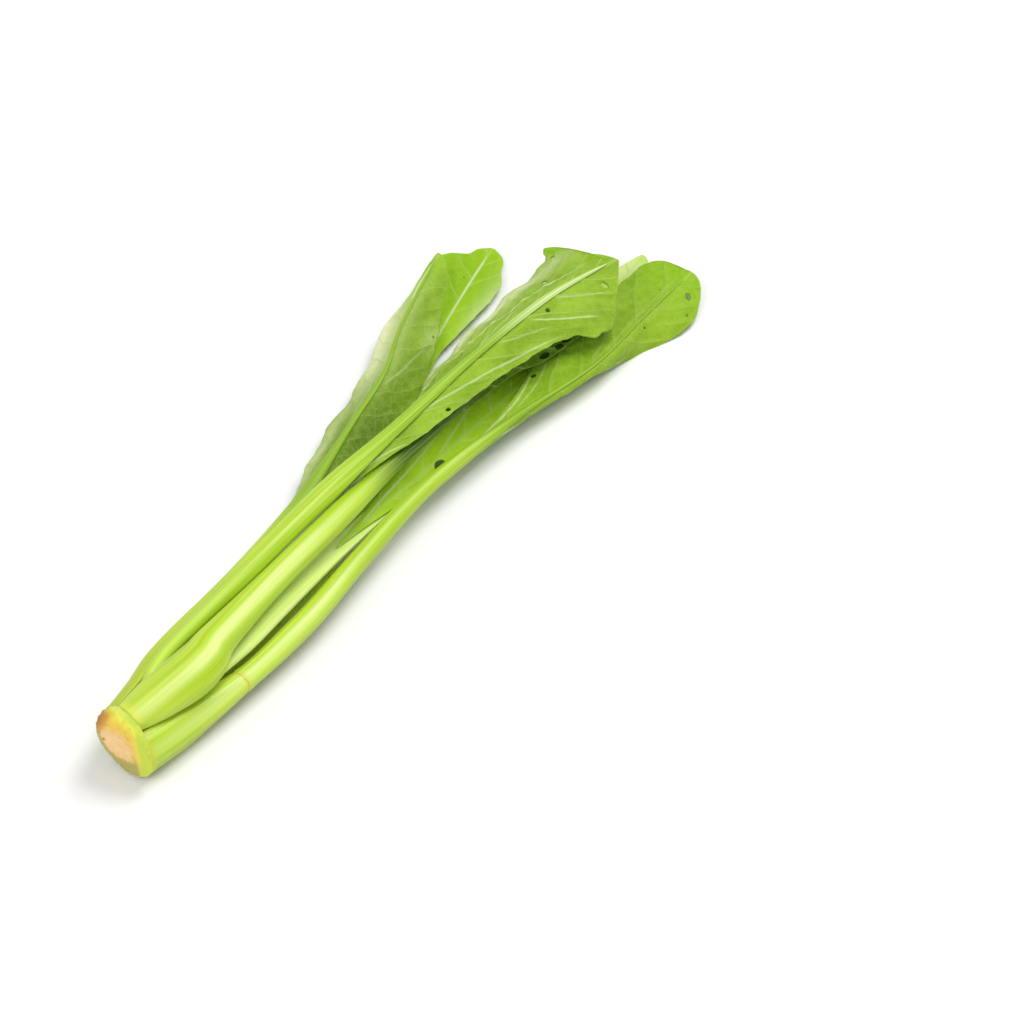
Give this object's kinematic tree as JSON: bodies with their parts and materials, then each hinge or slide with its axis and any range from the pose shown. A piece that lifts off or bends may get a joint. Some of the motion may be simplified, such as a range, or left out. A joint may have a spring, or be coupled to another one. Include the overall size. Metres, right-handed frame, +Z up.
{
  "type": "choy sum",
  "caption": "Head of leafy green vegetable lying on its side: cut stem base, thick pale stalks and long waved green leaf blades.",
  "frame": {"origin": "centre of the box's footprint, on the surface the head lies on", "axes": "+X from the cut stem end to the leaf tips, +Y to the left of that, +Z up from the surface"},
  "size_m": [0.33, 0.102, 0.0305],
  "materials": {
    "cut_stem": "matte",
    "stalk": "satin",
    "pale_stalk": "satin",
    "blade": "satin"
  },
  "bodies": {
    "root": {"stem_base": "cut_stem", "broad_leaf_stalk": "stalk", "broad_leaf_blade": "blade", "top_leaf_stalk": "stalk", "top_leaf_blade": "blade", "right_leaf_stalk": "stalk", "right_leaf_blade": "blade", "inner_leaf_stalk": "pale_stalk", "inner_leaf_blade": "blade", "back_leaf_stalk": "stalk", "back_leaf_blade": "blade", "under_leaf_stalk": "stalk", "under_leaf_blade": "blade"}
  },
  "joints": []
}
